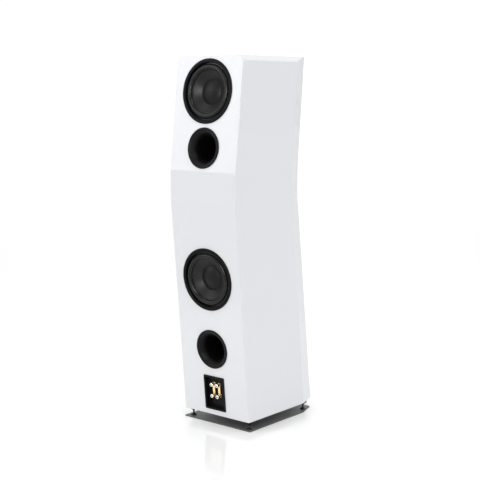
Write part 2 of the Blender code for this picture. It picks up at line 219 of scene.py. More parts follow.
def cap_fibre():
    look = Look("dust_cap_fibre", (0.005, 0.0052, 0.006), 0.36, Specular_IOR_Level=0.2)
    look.relief(look.noise(700.0, 3.0, 0.5), 0.000006)
    look.spread(look.noise(180.0, 4.0), 0.34, 0.46, "Roughness")
    look.tint(look.noise(500.0, 6.0, 0.7), (0.004, 0.0042, 0.0047), (0.007, 0.0073, 0.008))
    return look.done()


def roll_rubber():
    look = Look("surround_rubber", (0.005, 0.005, 0.0053), 0.24, Specular_IOR_Level=0.25)
    look.relief(look.noise(1300.0, 3.0), 0.000003)
    look.spread(look.noise(120.0, 4.0), 0.20, 0.30, "Roughness")
    look.tint(look.noise(60.0, 3.0), (0.005, 0.005, 0.0053), (0.008, 0.008, 0.0085))
    return look.done()


def spider_weave():
    look = Look("spider_cloth", (0.55, 0.42, 0.18), 0.85, Sheen_Weight=0.2)
    x = look.wave(look.axis("X"), 0.0009)
    z = look.wave(look.axis("Z"), 0.0009)
    look.relief(look.math("ADD", x, z), 0.00012)
    look.tint(look.math("MULTIPLY", x, z), (0.36, 0.26, 0.09), (0.62, 0.48, 0.22), 0.0, 0.8)
    return look.done()


def ferrite():
    look = Look("ferrite", (0.045, 0.045, 0.048), 0.62)
    look.tint(look.noise(500.0, 6.0, 0.7), (0.030, 0.030, 0.032), (0.070, 0.070, 0.074))
    look.relief(look.noise(1200.0, 5.0), 0.00004)
    return look.done()


def plated_steel():
    look = Look("plated_steel", (0.55, 0.56, 0.57), 0.34, 1.0)
    look.relief(look.wave(look.radius(), 0.0007), 0.000012)
    look.spread(look.noise(120.0, 5.0), 0.26, 0.42, "Roughness")
    look.tint(look.noise(40.0, 4.0), (0.48, 0.49, 0.50), (0.60, 0.61, 0.62))
    return look.done()


def dome_metal():
    look = Look("dome_metal", (0.62, 0.63, 0.65), 0.28, 1.0)
    look.relief(look.wave(look.radius(), 0.0004), 0.000003)
    look.spread(look.noise(300.0, 4.0), 0.24, 0.34, "Roughness")
    return look.done()


def moulded_black(name="port_moulding", grain=0.00002, low=0.34, high=0.46):
    look = Look(name, (0.004, 0.004, 0.0045), 0.40, Specular_IOR_Level=0.14)
    look.relief(look.noise(1800.0, 3.0, 0.6), grain)
    look.spread(look.noise(70.0, 4.0), low, high, "Roughness")
    look.tint(look.noise(200.0, 3.0), (0.003, 0.003, 0.0034), (0.005, 0.005, 0.0056))
    return look.done()


def gold(name="post_gold", colour=(0.90, 0.70, 0.36), low=0.16, high=0.28):
    look = Look(name, colour, 0.2, 1.0)
    dark = tuple(c * 0.93 for c in colour)
    look.tint(look.noise(220.0, 4.0), dark, colour)
    look.spread(look.noise(500.0, 4.0), low, high, "Roughness")
    look.relief(look.noise(900.0, 3.0), 0.000004)
    return look.done()


def copper_winding(pitch):
    look = Look("copper_winding", (0.72, 0.33, 0.16), 0.30, 1.0)
    look.relief(look.wave(look.axis("Z"), pitch, 0.6), pitch * 0.35)
    look.tint(look.noise(90.0, 3.0), (0.62, 0.27, 0.12), (0.78, 0.38, 0.19))
    return look.done()


def solder_mask():
    look = Look("circuit_board", (0.03, 0.16, 0.07), 0.42)
    cells = look.node("ShaderNodeTexVoronoi", feature="DISTANCE_TO_EDGE")
    cells.inputs["Scale"].default_value = 55.0
    look.link(look.coordinates, cells.inputs["Vector"])
    look.tint(cells.outputs["Distance"], (0.02, 0.10, 0.045), (0.035, 0.19, 0.085), 0.04, 0.09)
    look.relief(look.noise(500.0, 3.0), 0.00001)
    return look.done()


def film_wrap():
    look = Look("capacitor_film", (0.75, 0.60, 0.12), 0.30)
    look.tint(look.noise(120.0, 4.0), (0.66, 0.51, 0.08), (0.80, 0.66, 0.16))
    look.relief(look.noise(400.0, 3.0), 0.00003)
    return look.done()


def gloss_black():
    look = Look("gloss_black_plate", (0.105, 0.105, 0.107), 0.30, Specular_IOR_Level=0.2)
    look.relief(look.noise(60.0, 1.0), 0.00000005)
    look.spread(look.noise(30.0, 4.0), 0.29, 0.32, "Roughness")
    return look.done()


def foot_black():
    look = Look("foot_black_chrome", (0.012, 0.012, 0.013), 0.16)
    look.relief(look.wave(look.axis("Z"), 0.0006), 0.000003)
    look.spread(look.noise(400.0, 4.0), 0.12, 0.22, "Roughness")
    return look.done()


LOOKS = {
    "white": white_lacquer(),
    "board": raw_board(),
    "frame": powder_black(),
    "cone": cone_fibre(),
    "cap": cap_fibre(),
    "rubber": roll_rubber(),
    "cloth": spider_weave(),
    "ferrite": ferrite(),
    "steel": plated_steel(),
    "dome": dome_metal(),
    "port": moulded_black(),
    "cup": moulded_black("cup_moulding", 0.00003, 0.38, 0.52),
    # dark gold for the knob's socket: painted shade in the hole, not the plating's own colour
    "socket": gold("socket_painted_shade", (0.10, 0.085, 0.045), 0.35, 0.5),
    "gold": gold(),
    "knob": gold("knob_pale_gold", (0.95, 0.90, 0.78), 0.10, 0.20),
    "wire": copper_winding(0.0011),
    "coil": copper_winding(0.0021),
    "mask": solder_mask(),
    "film": film_wrap(),
    "plate": gloss_black(),
    "foot": foot_black(),
}


# Shapes


def filleted(points, closed=True, steps=4):
    """Rounds each corner (x, y, radius) of a line; a corner without a radius stays."""
    made = []
    for i, point in enumerate(points):
        radius = point[2] if len(point) > 2 else 0.0
        here = Vector(point[:2])
        if radius == 0.0 or (not closed and i in (0, len(points) - 1)):
            made.append(tuple(here))
            continue
        back = Vector(points[i - 1][:2]) - here
        ahead = Vector(points[(i + 1) % len(points)][:2]) - here
        reach = radius / math.tan(back.angle(ahead) / 2)
        reach = min(reach, 0.49 * back.length, 0.49 * ahead.length)
        first = here + back.normalized() * reach
        last = here + ahead.normalized() * reach
        for k in range(steps + 1):
            t = k / steps
            made.append(tuple(first * (1 - t) ** 2 + here * 2 * t * (1 - t) + last * t * t))
    return made


def arc(centre, radius, start, end, points):
    """Points on a circular arc between two angles in degrees."""
    angles = [math.radians(start + (end - start) * i / (points - 1)) for i in range(points)]
    return [(centre[0] + radius * math.cos(a), centre[1] + radius * math.sin(a)) for a in angles]


def turned(profile, segments, scale=MM, paint=None):
    """A body of revolution about Z. paint(radius, height) gives a face's material index."""
    shape = bmesh.new()
    rings = []
    for radius, height in profile:
        if radius <= 0:
            rings.append([shape.verts.new((0, 0, height * scale))])
            continue
        turn = [2 * math.pi * i / segments for i in range(segments)]
        r = radius * scale
        rings.append(
            [shape.verts.new((r * math.cos(a), r * math.sin(a), height * scale)) for a in turn]
        )
    pairs = list(zip(rings, rings[1:], profile, profile[1:]))
    if len(rings[0]) > 1:
        pairs.append((rings[-1], rings[0], profile[-1], profile[0]))
    for first, second, low, high in pairs:
        index = paint((low[0] + high[0]) / 2, (low[1] + high[1]) / 2) if paint else 0
        for i in range(segments):
            j = (i + 1) % segments
            corners = [first[i % len(first)], first[j % len(first)]]
            corners += [second[j % len(second)], second[i % len(second)]]
            corners = list(dict.fromkeys(corners))
            if len(corners) > 2:
                shape.faces.new(corners).material_index = index
    return shape


def loft(sections, shape=None, flip=False):
    """A closed body through sections of equal point count, capped at both ends."""
    shape = shape or bmesh.new()
    made = []
    rings = [[shape.verts.new(point) for point in section] for section in sections]
    count = len(rings[0])
    for below, above in zip(rings, rings[1:]):
        for i in range(count):
            j = (i + 1) % count
            made.append(shape.faces.new((below[i], below[j], above[j], above[i])))
    made.append(shape.faces.new(reversed(rings[0])))
    made.append(shape.faces.new(rings[-1]))
    if flip:
        for face in made:
            face.normal_flip()
            face.material_index = 1
    return shape


def piece(name, shape, looks, body="root", place=None, stands_for=(), cuts=(), ride=True):
    """Makes the object, gives it its materials, takes its cuts out and puts it on its body."""
    if not cuts:
        bmesh.ops.recalc_face_normals(shape, faces=shape.faces)
    mesh = bpy.data.meshes.new(name)
    shape.to_mesh(mesh)
    shape.free()
    for look in looks:
        mesh.materials.append(LOOKS[look])
    obj = bpy.data.objects.new(name, mesh)
    bpy.context.scene.collection.objects.link(obj)
    if place is not None:
        obj.matrix_world = place
    if cuts:
        take_out(obj, cuts)
    obj.data.shade_smooth()
    obj.data.set_sharp_from_angle(angle=math.radians(38))
    weighted = obj.modifiers.new("even_normals", "WEIGHTED_NORMAL")
    weighted.keep_sharp = True
    weighted.weight = 100
    if ride:
        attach(obj, body)
    if stands_for:
        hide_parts(*stands_for)
    return obj


def take_out(obj, cuts):
    """Cuts each (shape, place) out of the object and keeps the result as its mesh."""
    cutters = []
    for shape, place in cuts:
        bmesh.ops.recalc_face_normals(shape, faces=shape.faces)
        mesh = bpy.data.meshes.new("cutter")
        shape.to_mesh(mesh)
        shape.free()
        cutter = bpy.data.objects.new("cutter", mesh)
        bpy.context.scene.collection.objects.link(cutter)
        cutter.matrix_world = place
        for material in obj.data.materials:
            mesh.materials.append(material)
        modifier = obj.modifiers.new("cut", "BOOLEAN")
        modifier.operation = "DIFFERENCE"
        modifier.solver = "EXACT"
        modifier.object = cutter
        cutters.append(cutter)
    bpy.context.view_layer.update()
    graph = bpy.context.evaluated_depsgraph_get()
    result = bpy.data.meshes.new_from_object(obj.evaluated_get(graph))
    obj.modifiers.clear()
    obj.data = result
    for cutter in cutters:
        bpy.data.objects.remove(cutter)


def points_of(node):
    return np.array([v.co for v in frame["nodes"][node].data.vertices], float)


def seat(node, out, top):
    """The place of a CAD node's own axis, with its face at height 0, and its outer radius in mm.

    Local Z points out of the face and local Y up along it. top is the node's height there, in mm.
    """
    side_sign = 1 if out.y > 0 else -1
    up = Vector((0, -out.z * side_sign, out.y * side_sign)).normalized()
    side = up.cross(out)
    points = points_of(node)
    across, along, proud = (points @ np.array(axis) for axis in (side, up, out))
    origin = side * ((across.min() + across.max()) / 2) + up * ((along.min() + along.max()) / 2)
    origin += out * (proud.max() - top * MM)
    place = Matrix((side, up, out)).transposed().to_4x4()
    place.translation = origin
    return place, (across.max() - across.min()) / 2 / MM


# Cabinet


def cabinet_corners():
    """Outer and inner corners of the cabinet at each height where its outline bends.

    Right half only, from the rear to the front: {height: (outer, inner)}.
    """
    wall = points_of("side_panel_right")
    rear = points_of("rear_panel")
    front = points_of("front_baffle")
    found = {}
    for z in sorted(set(np.round(wall[:, 2], 5))):
        side = wall[abs(wall[:, 2] - z) < 2e-5]
        back = rear[abs(rear[:, 2] - z) < 2e-5]
        face = front[abs(front[:, 2] - z) < 2e-5]
        outer_x = side[:, 0].max()
        turn = side[side[:, 0] > outer_x - 1e-5][:, 1].min()
        front_y = face[:, 1].min()
        front_x = face[face[:, 1] < front_y + 1e-5][:, 0].max()
        inner = side[side[:, 1] > side[:, 1].max() - 1e-5][:, 0].min()
        inner_turn = side[abs(side[:, 0] - inner) < 1e-5][:, 1].min()
        inner_front_y = side[:, 1].min()
        inner_front_x = side[side[:, 1] < inner_front_y + 1e-5][:, 0].min()
        found[float(z)] = (
            [(outer_x, back[:, 1].max()), (outer_x, turn), (front_x, front_y)],
            [(inner, back[:, 1].min()), (inner, inner_turn), (inner_front_x, inner_front_y)],
        )
    return found


def mirrored(half):
    return half + [(-x, y) for x, y in reversed(half)]


def inset(corners, distance):
    """A convex outline moved inwards by a distance."""
    made = []
    for i, corner in enumerate(corners):
        here = Vector(corner)
        back = (Vector(corners[i - 1]) - here).normalized()
        ahead = (Vector(corners[(i + 1) % len(corners)]) - here).normalized()
        inward = (back + ahead).normalized()
        made.append(tuple(here + inward * distance / math.sin(back.angle(ahead) / 2)))
    return made


def make_shell():
    found = cabinet_corners()
    heights = list(found)
    edge_radius = (0.0042, 0.0060, 0.0035, 0.0035, 0.0060, 0.0042)
    fine = 0.0016
    soft = 0.0035
    top_wall = 0.022

    def between(z, which):
        for low, high in zip(heights, heights[1:]):
            if z <= high + 1e-9:
                share = (z - low) / (high - low)
                pairs = zip(found[low][which], found[high][which])
                return [tuple(Vector(a).lerp(Vector(b), share)) for a, b in pairs]
        return found[heights[-1]][which]

    def outline(corners, z, radii=edge_radius):
        points = filleted([(*c, r) for c, r in zip(corners, radii)], True, 6)
        return np.array([(x, y, z) for x, y in points])

    def eased(first, middle, last, steps=5):
        shares = [k / steps for k in range(steps + 1)]
        return [first * (1 - t) ** 2 + middle * 2 * t * (1 - t) + last * t * t for t in shares]

    def at(z):
        return outline(mirrored(between(z, 0)), z)

    def drawn_in(z):
        return outline(inset(mirrored(between(z, 0)), fine), z)

    low, high = heights[0], heights[-1]
    rings = eased(drawn_in(low), at(low), at(low + fine))
    for z in heights[1:-1]:
        reach = fine if z > heights[2] + 1e-6 else soft
        rings += eased(at(z - reach), at(z), at(z + reach))
    rings += eased(at(high - fine), at(high), drawn_in(high))
    shape = loft([list(map(tuple, ring)) for ring in rings])
    hollow = [low + top_wall, *heights[1:-2], high - top_wall]
    small = (0.001,) * 6
    inner = [outline(mirrored(between(z, 1)), z, small) for z in hollow]
    loft([list(map(tuple, ring)) for ring in inner], shape, flip=True)
    cuts = []

    def round_hole(place, radius):
        outside, inside = 30, -40
        profile = [(0, outside), (radius, outside), (radius, inside), (0, inside)]
        cuts.append((turned(profile, ROUND, MM, lambda r, h: 1), place))

    for name in ("woofer_lower", "woofer_upper", "mid_lower", "mid_upper"):
        place, radius = seat(f"{name}_frame", AXES[f"{name}_travel"], UNIT_FLANGE)
        round_hole(place, radius * UNIT_HOLE / UNIT_RADIUS)
    for where, out in (("lower", REAR_LOW), ("upper", REAR_HIGH)):
        round_hole(seat(f"port_{where}", out, PORT_FLANGE)[0], 54)
    round_hole(seat("tweeter_faceplate", AXES["tweeter_travel"], TWEETER_FLANGE)[0], 34.5)
    place = seat("terminal_cup", REAR_LOW, CUP_FLANGE)[0]
    corners = [(40.5, 55, 4), (-40.5, 55, 4), (-40.5, -55, 4), (40.5, -55, 4)]
    hole = [(x * MM, y * MM) for x, y in filleted(corners)]
    cutter = loft([[(x, y, z) for x, y in hole] for z in (-0.04, 0.03)])
    for face in cutter.faces:
        face.material_index = 1
    cuts.append((cutter, place))
    piece(
        "cabinet_shell", shape, ["white", "board"], cuts=cuts,
        stands_for=[
            "rear_panel", "front_baffle", "side_panel_left", "side_panel_right", "top_panel", "bottom_panel",
        ],
    )


# Drive units: profiles for a unit of UNIT_RADIUS, scaled to each unit


BASKET = [
    (92.2, -4.2, 0.4), (92.2, 2.2, 1.6), (94.2, 4.0, 1.2), (102.0, 4.0, 2.4), (104, 2.4, 1.4),
    (104, 0.3, 0.2), (95.5, 0.3, 0.6), (95.5, -18, 3), (59, -47, 3), (59, -78, 1), (26, -78, 0.6),
    (26, -75, 0.6), (55.5, -75, 2), (55.5, -48, 0.6), (51, -48, 0.6), (51, -45.2, 0.6), (55, -45.2, 1),
    (91.5, -16.5, 3), (91.5, -9.5, 0.6), (87.5, -9.5, 0.5), (87.5, -6.5, 0.5), (91.6, -6.5, 0.3),
]
CONE = [
    (40.2, -21.3), (46, -17.6), (52, -13.9), (58, -10.4), (64, -7.1), (68.2, -5.0), (69.2, -5.2),
    (68.4, -6.2), (64, -8.3), (58, -11.6), (52, -15.1), (46, -18.8), (40.6, -23.0), (32, -27.2),
    (20.6, -31.8), (20.6, -38), (19.5, -38), (19.5, -31.2), (31.4, -26.3), (38.6, -22.6),
]
CAP_EDGE = (39.9, -20.6)
CAP_CROWN = -10.9
FORMER = [
    (19.45, -37.5, 0.05), (20.55, -37.5, 0.05), (20.55, -76, 0.05), (20.9, -76.4, 0.2), (20.9, -91.4, 0.2),
    (20.55, -91.8, 0.05), (19.45, -91.8, 0.05),
]
MOTOR = [
    (0, -80), (18.2, -80, 0.5), (18.2, -104, 0.4), (21.8, -104, 0.4), (21.8, -78.4, 0.4), (58.6, -78.4, 0.8),
    (58.6, -84.4, 0.4), (60, -84.8, 1.2), (60, -103.6, 1.2), (57.6, -104, 0.4), (57.6, -106, 0.8),
    (50, -110, 1.5), (8, -110, 1.0), (6, -106, 0.6), (0, -106),
]
CAP_WALL = 0.9
ROLL_CENTRE = (78, -5.0)
ROLL_RADIUS = 8.8
ROLL_WALL = 1.2


def roll_profile():
    outer = arc(ROLL_CENTRE, ROLL_RADIUS, 172, 8, 19)
    inner = arc(ROLL_CENTRE, ROLL_RADIUS - ROLL_WALL, 8, 172, 15)
    lead_in = [(68.0, -5.9), (66.2, -6.5), (65.4, -6.0), (65.7, -5.2), (66.6, -4.5), (68.3, -3.9)]
    lead_out = [(87.8, -4.6), (91.0, -4.6), (91.2, -5.4), (91.0, -6.2), (86.4, -6.2)]
    return lead_in + outer + lead_out + inner[1:-1]


def spider_profile():
    """A corrugated cloth disc whose waves die away at both edges."""
    waves = 5
    inner, reach, level, depth, half_wall = 21.0, 33.0, -43.9, 1.5, 0.25
    points = []
    steps = 8 * waves
    for k in range(steps + 1):
        share = k / steps
        wave = math.sin(2 * math.pi * waves * share) * min(1, 6 * share, 6 * (1 - share))
        points.append((inner + reach * share, level + depth * wave))
    top = [(r, h + half_wall) for r, h in points]
    under = [(r, h - half_wall) for r, h in reversed(points)]
    return top + under


def bends(obj, place, inner, outer, scale):
    """Bakes a flexible ring's place into its mesh and works out each vertex's share between its inner and
    outer radius; the share is not used.
    """
    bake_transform(obj)
    back = place.inverted()
    for vertex in obj.data.vertices:
        local = back @ vertex.co
        share = (outer - math.hypot(local.x, local.y) / scale) / (outer - inner)
        share = min(1.0, max(0.0, share))


def dust_cap_profile():
    """A domed shell with a small foot on the cone."""
    edge_r, edge_h = CAP_EDGE
    rise = CAP_CROWN - edge_h
    ball = (edge_r**2 + rise**2) / (2 * rise)
    reach = math.degrees(math.asin(edge_r / ball))
    top = [(r, h + CAP_CROWN) for r, h in arc((0, -ball), ball, 90 - reach, 90, 22)]
    under = [(r, h - CAP_WALL) for r, h in reversed(top)]
    foot = [(edge_r + 0.5, edge_h - CAP_WALL), (edge_r + 0.6, edge_h - 0.3), (edge_r + 0.3, edge_h)]
    upper = foot + top[:-1] + [(0, CAP_CROWN)]
    lower = [(0, CAP_CROWN - CAP_WALL)] + under[1:]
    return [*reversed(lower), *upper]


def make_drive_unit(name, with_spider):
    body = f"{name}_diaphragm"
    place, radius = seat(f"{name}_frame", AXES[f"{name}_travel"], 0.0)
    scale = MM * radius / UNIT_RADIUS
    place.translation -= place.col[2].xyz * UNIT_FLANGE * scale
    windows = []
    for i in range(3):
        ring = filleted([(-17, -43, 4), (17, -43, 4), (20, -23, 4), (-20, -23, 4)])
        window = loft([[(x * scale, y, z * scale) for x, z in ring] for y in (-0.12, 0.12)])
        windows.append((window, place @ Matrix.Rotation(math.pi / 3 * i, 4, "Z")))
    piece(
        f"{name}_basket", turned(filleted(BASKET), ROUND, scale), ["frame"], place=place,
        stands_for=[f"{name}_frame"], cuts=windows,
    )
    motor = turned(filleted(MOTOR, False), ROUND, scale, lambda r, h: int(r > 22 and -103.8 < h < -84.5))
    piece(
        f"{name}_magnet", motor, ["steel", "ferrite"], place=place,
        stands_for=[f"{name}_motor"],
    )
    cone = turned(CONE, ROUND, scale)
    piece(f"{name}_cone_body", cone, ["cone"], body, place, stands_for=[f"{name}_cone"])
    piece(f"{name}_dust_cap", turned(dust_cap_profile(), ROUND, scale), ["cap"], body, place)
    former = turned(filleted(FORMER), ROUND, scale, lambda r, h: int(h < -76.2 and r > 20.6))
    piece(f"{name}_voice_coil", former, ["cap", "wire"], body, place)
    roll = piece(
        f"{name}_roll", turned(roll_profile(), ROUND, scale), ["rubber"], place=place,
        stands_for=[f"{name}_surround"], ride=False,
    )
    bends(roll, place, 69.4, 86.8, scale)
    if with_spider:
        spider = piece(
            f"{name}_damper", turned(spider_profile(), ROUND, scale), ["cloth"], place=place,
            stands_for=[f"{name}_spider"], ride=False,
        )
        bends(spider, place, 22.0, 52.5, scale)


def make_tweeter():
    place = seat("tweeter_faceplate", AXES["tweeter_travel"], TWEETER_FLANGE)[0]
    plate = [
        (42, 0.3, 0.2), (42, 2.0, 1.0), (40.8, 3.0, 0.8), (31, 2.6, 4), (22, 0.0, 6), (14.9, -5.0, 0.5),
        (14.9, -9.0, 0.3), (33.5, -9.0, 0.6), (33.5, 0.3, 0.3),
    ]
    piece(
        "tweeter_waveguide", turned(filleted(plate), ROUND), ["frame"], place=place,
        stands_for=["tweeter_faceplate"],
    )
    crown, ball = 0.1, 13.0
    curve = [(r, h + crown - ball) for r, h in arc((0, 0), ball, 33, 90, 14)][:-1]
    under = [(r - 0.15, h - 0.6) for r, h in reversed(curve)]
    former = [(12.5, -7.1), (12.5, -13.9), (13.0, -13.9), (13.0, -7.3)]
    rim = [(14.3, -7.1), (14.4, -6.5), (14.1, -5.9), (13.6, -5.7), (13.1, -6.0)]
    dome = [*under, *former, *rim, *curve, (0, crown)]
    piece(
        "tweeter_diaphragm_dome", turned(dome, FINE * 2), ["dome"], "tweeter_diaphragm", place,
        stands_for=["tweeter_dome"],
    )
    motor = [
        (0, -9.6), (11.6, -9.6, 0.4), (11.6, -16, 0.3), (13.8, -16, 0.3), (13.8, -9.4, 0.3), (32, -9.4, 0.6),
        (32, -29, 1.5), (28, -33.8, 1.5), (0, -33.8),
    ]
    piece(
        "tweeter_magnet", turned(filleted(motor, False), FINE * 2), ["steel"], place=place,
        stands_for=["tweeter_motor"],
    )


def make_ports():
    profile = [
        (66, 0.3, 0.2), (66, 2.1, 1.2), (64.6, 3.2, 1.2), (61, 3.1, 3), (54, -0.2, 9), (47.6, -6.6, 12),
        (43.2, -15, 16), (41.2, -30, 20), (41, -150, 1.2), (44, -150, 0.8), (44, -26, 10), (53.5, -11, 3),
        (53.5, 0.3, 0.2),
    ]
    for where, out in (("lower", REAR_LOW), ("upper", REAR_HIGH)):
        piece(
            f"port_{where}_flare", turned(filleted(profile, True, 7), ROUND), ["port"],
            place=seat(f"port_{where}", out, PORT_FLANGE)[0], stands_for=[f"port_{where}"],
        )


# Terminals


def rounded_rectangle(wide, tall, radius, height):
    corners = [(wide, tall, radius), (-wide, tall, radius), (-wide, -tall, radius), (wide, -tall, radius)]
    return [(x * MM, y * MM, height * MM) for x, y in filleted(corners, True, 6)]


def bolt_holes(place, spots, radius, depth):
    profile = [(0, 0), (radius, 0), (radius, -depth), (0, -depth)]
    return [(turned(profile, FINE), place @ Matrix.Translation(spot)) for spot in spots]


def make_terminals():
    place = seat("terminal_cup", REAR_LOW, CUP_FLANGE)[0]
    sections = [  # half width, half height, corner radius, height
        (40, 54.5, 3.6, -17), (40, 54.5, 3.6, 0.3), (44.3, 58.8, 3.6, 0.3), (44.5, 59, 3.6, 0.6),
        (44.5, 59, 3.6, 2.0), (44.3, 58.8, 3.6, 2.6), (43.7, 58.2, 3.4, 3.0), (38.9, 53.4, 3.2, 3.0),
        (38.2, 52.7, 3.0, 2.7), (37.9, 52.4, 3.0, 2.0), (37.3, 51.8, 3.0, -12.8), (36.9, 51.4, 3.0, -13.6),
        (36.2, 50.7, 3.0, -14),
    ]
    shape = loft([rounded_rectangle(*section) for section in sections])
    posts = []
    for i in range(1, 5):
        axis = place.inverted() @ seat(f"post_{i}_knob", REAR_LOW, 5.0)[0].translation
        posts.append(Vector((axis.x, axis.y, 0)))
    piece(
        "terminal_plate", shape, ["cup"], place=place, stands_for=["terminal_cup"],
        cuts=bolt_holes(place, posts, 3.4, 30),
    )
    stud = [
        (0, 1.0), (2.4, 1.0, 0.2), (2.9, 0.4, 0.2), (2.9, -10.9, 0.1), (6.2, -11.0, 0.4), (6.5, -11.4, 0.3),
        (6.5, -13.4, 0.3), (6.2, -13.7, 0.2), (3.1, -13.7, 0.1), (3.1, -25.6, 0.4), (2.6, -26, 0.2), (0, -26),
    ]
    washer = [(3.3, -7.75, 0.15), (6.3, -7.75, 0.3), (6.3, -9.15, 0.3), (3.3, -9.15, 0.15)]
    for i, spot in enumerate(posts, start=1):
        here = place @ Matrix.Translation(spot)
        piece(
            f"post_{i}_bolt", turned(filleted(stud, False), FINE), ["gold"], place=here,
            stands_for=[f"post_{i}_stud"],
        )
        piece(
            f"post_{i}_clamp_ring", turned(filleted(washer), FINE), ["gold"],
            f"post_{i}_clamp", here, stands_for=[f"post_{i}_washer"],
        )
        make_knob(i, here)
    for name, upper, lower in (("left", 1, 3), ("right", 2, 4)):
        make_jumper(name, place, posts[upper - 1], posts[lower - 1])


def make_knob(number, place):
    """A clamp knob: an eight-sided head with a socket in its end, on a grooved barrel. The socket's walls and
    floor are painted dark gold, painted shade in the hole.
    """
    sides = 8
    steps = 8
    count = sides * steps

    def ring(radius, height, flatness):
        points = []
        for k in range(count):
            turn = 2 * math.pi * k / count
            within = (turn + math.pi / sides) % (2 * math.pi / sides) - math.pi / sides
            flat = math.cos(math.pi / sides) / math.cos(within)
            r = radius * (1 - flatness + flatness * flat) * MM
            points.append((r * math.cos(turn), r * math.sin(turn), height * MM))
        return points

    outside = [
        (6.0, -7.4, 0), (6.5, -7.2, 0), (6.6, -6.6, 0), (6.6, -4.9, 0), (6.2, -4.5, 0), (6.2, -4.1, 0),
        (6.7, -3.7, 0.3), (7.0, -3.2, 1), (7.0, 2.9, 1), (6.85, 3.4, 1), (6.3, 4.2, 0.6), (5.4, 4.75, 0.2),
        (4.5, 5.0, 0), (3.1, 5.0, 0), (2.8, 4.7, 0), (2.7, 4.2, 0), (2.6, 2.5, 0),
    ]
    socket_from = 14  # the row of outside where the socket begins; from here on the faces are painted dark, painted shade in the hole
    bore = [(3.4, 2.0, 0), (3.4, -7.2, 0), (3.6, -7.4, 0)]
    shape = bmesh.new()
    rings = [[shape.verts.new(p) for p in ring(*row)] for row in outside]
    inner = [[shape.verts.new(p) for p in ring(*row)] for row in bore]
    for first, second in [*zip(rings, rings[1:]), *zip(inner, inner[1:]), (inner[-1], rings[0])]:
        for i in range(count):
            j = (i + 1) % count
            face = shape.faces.new((first[i], first[j], second[j], second[i]))
            face.material_index = 1 if first in rings[socket_from:] else 0
    shape.faces.new(rings[-1]).material_index = 1
    shape.faces.new(inner[0])
    piece(
        f"post_{number}_head_knob", shape, ["knob", "socket"], f"post_{number}_head", place,
        stands_for=[f"post_{number}_knob"],
    )


def make_jumper(name, place, upper, lower):
    """A flat strap over two bolts, with round ends and a slight bow between them."""
    wide = 4.7
    level, bowed, thick = -10.75, 1.1, 1.15
    low, high = lower.y / MM, upper.y / MM
    stations = []
    for k in range(9):
        angle = math.radians(90 * k / 8)
        stations.append((low - wide * math.cos(angle), max(0.35, wide * math.sin(angle))))
    middle = [(low + (high - low) * k / 16, wide) for k in range(1, 16)]
    top_end = [(high + low - y, w) for y, w in reversed(stations)]
    shape = bmesh.new()
    rings = []
    reach = (high - low) / 2
    centre = (high + low) / 2
    for y, w in stations + middle + top_end:
        across = min(1.0, abs(y - centre) / (reach - 7.0))
        base = level + bowed * (1 - across * across)
        corners = [(-w, base, 0.3), (w, base, 0.3), (w, base + thick, 0.3), (-w, base + thick, 0.3)]
        ring = [(x + upper.x / MM, y, h) for x, h in filleted(corners, True, 2)]
        rings.append([tuple(c * MM for c in p) for p in ring])
    loft(rings, shape)
    piece(
        f"jumper_{name}_strap", shape, ["gold"], place=place, stands_for=[f"jumper_{name}"],
        cuts=bolt_holes(place, (upper, lower), 3.3, 20),
    )


# Inside


def make_inside():
    boards = {node: "board" for node in ("chamber_floor", "chamber_lid", "chamber_back", "window_brace")}
    for node, look in {**boards, "crossover_board": "mask"}.items():
        materials = frame["nodes"][node].data.materials
        materials.clear()
        materials.append(LOOKS[look])
    low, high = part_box("crossover_coil")
    centre = (low + high) / 2
    place = Matrix.Translation((centre.x, centre.y, low.z))
    profile = [(12.2, 0.2, 0.5), (12.2, 25.8, 0.5)]
    for k in range(13):
        profile.append((29.0, 25.0 - 2 * k, 0))
        profile.append((30.0, 24.0 - 2 * k, 0))
    profile[-1] = (29.0, 0.2, 0)
    piece(
        "crossover_coil_winding", turned(filleted(profile), 64), ["coil"], place=place,
        stands_for=["crossover_coil"],
    )
    low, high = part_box("crossover_capacitor")
    centre = (low + high) / 2
    place = Matrix.Translation(centre) @ Matrix.Rotation(math.pi / 2, 4, "Y")
    can = [
        (0, 30), (12.5, 30, 0.5), (13.5, 29.2, 0.5), (14.6, 30, 0.8), (15.8, 28.8, 1), (15.8, -28.8, 1),
        (14.6, -30, 0.8), (13.5, -29.2, 0.5), (12.5, -30, 0.5), (0, -30),
    ]
    piece(
        "crossover_capacitor_can", turned(filleted(can, False), 64), ["film"], place=place,
        stands_for=["crossover_capacitor"],
    )


# Base


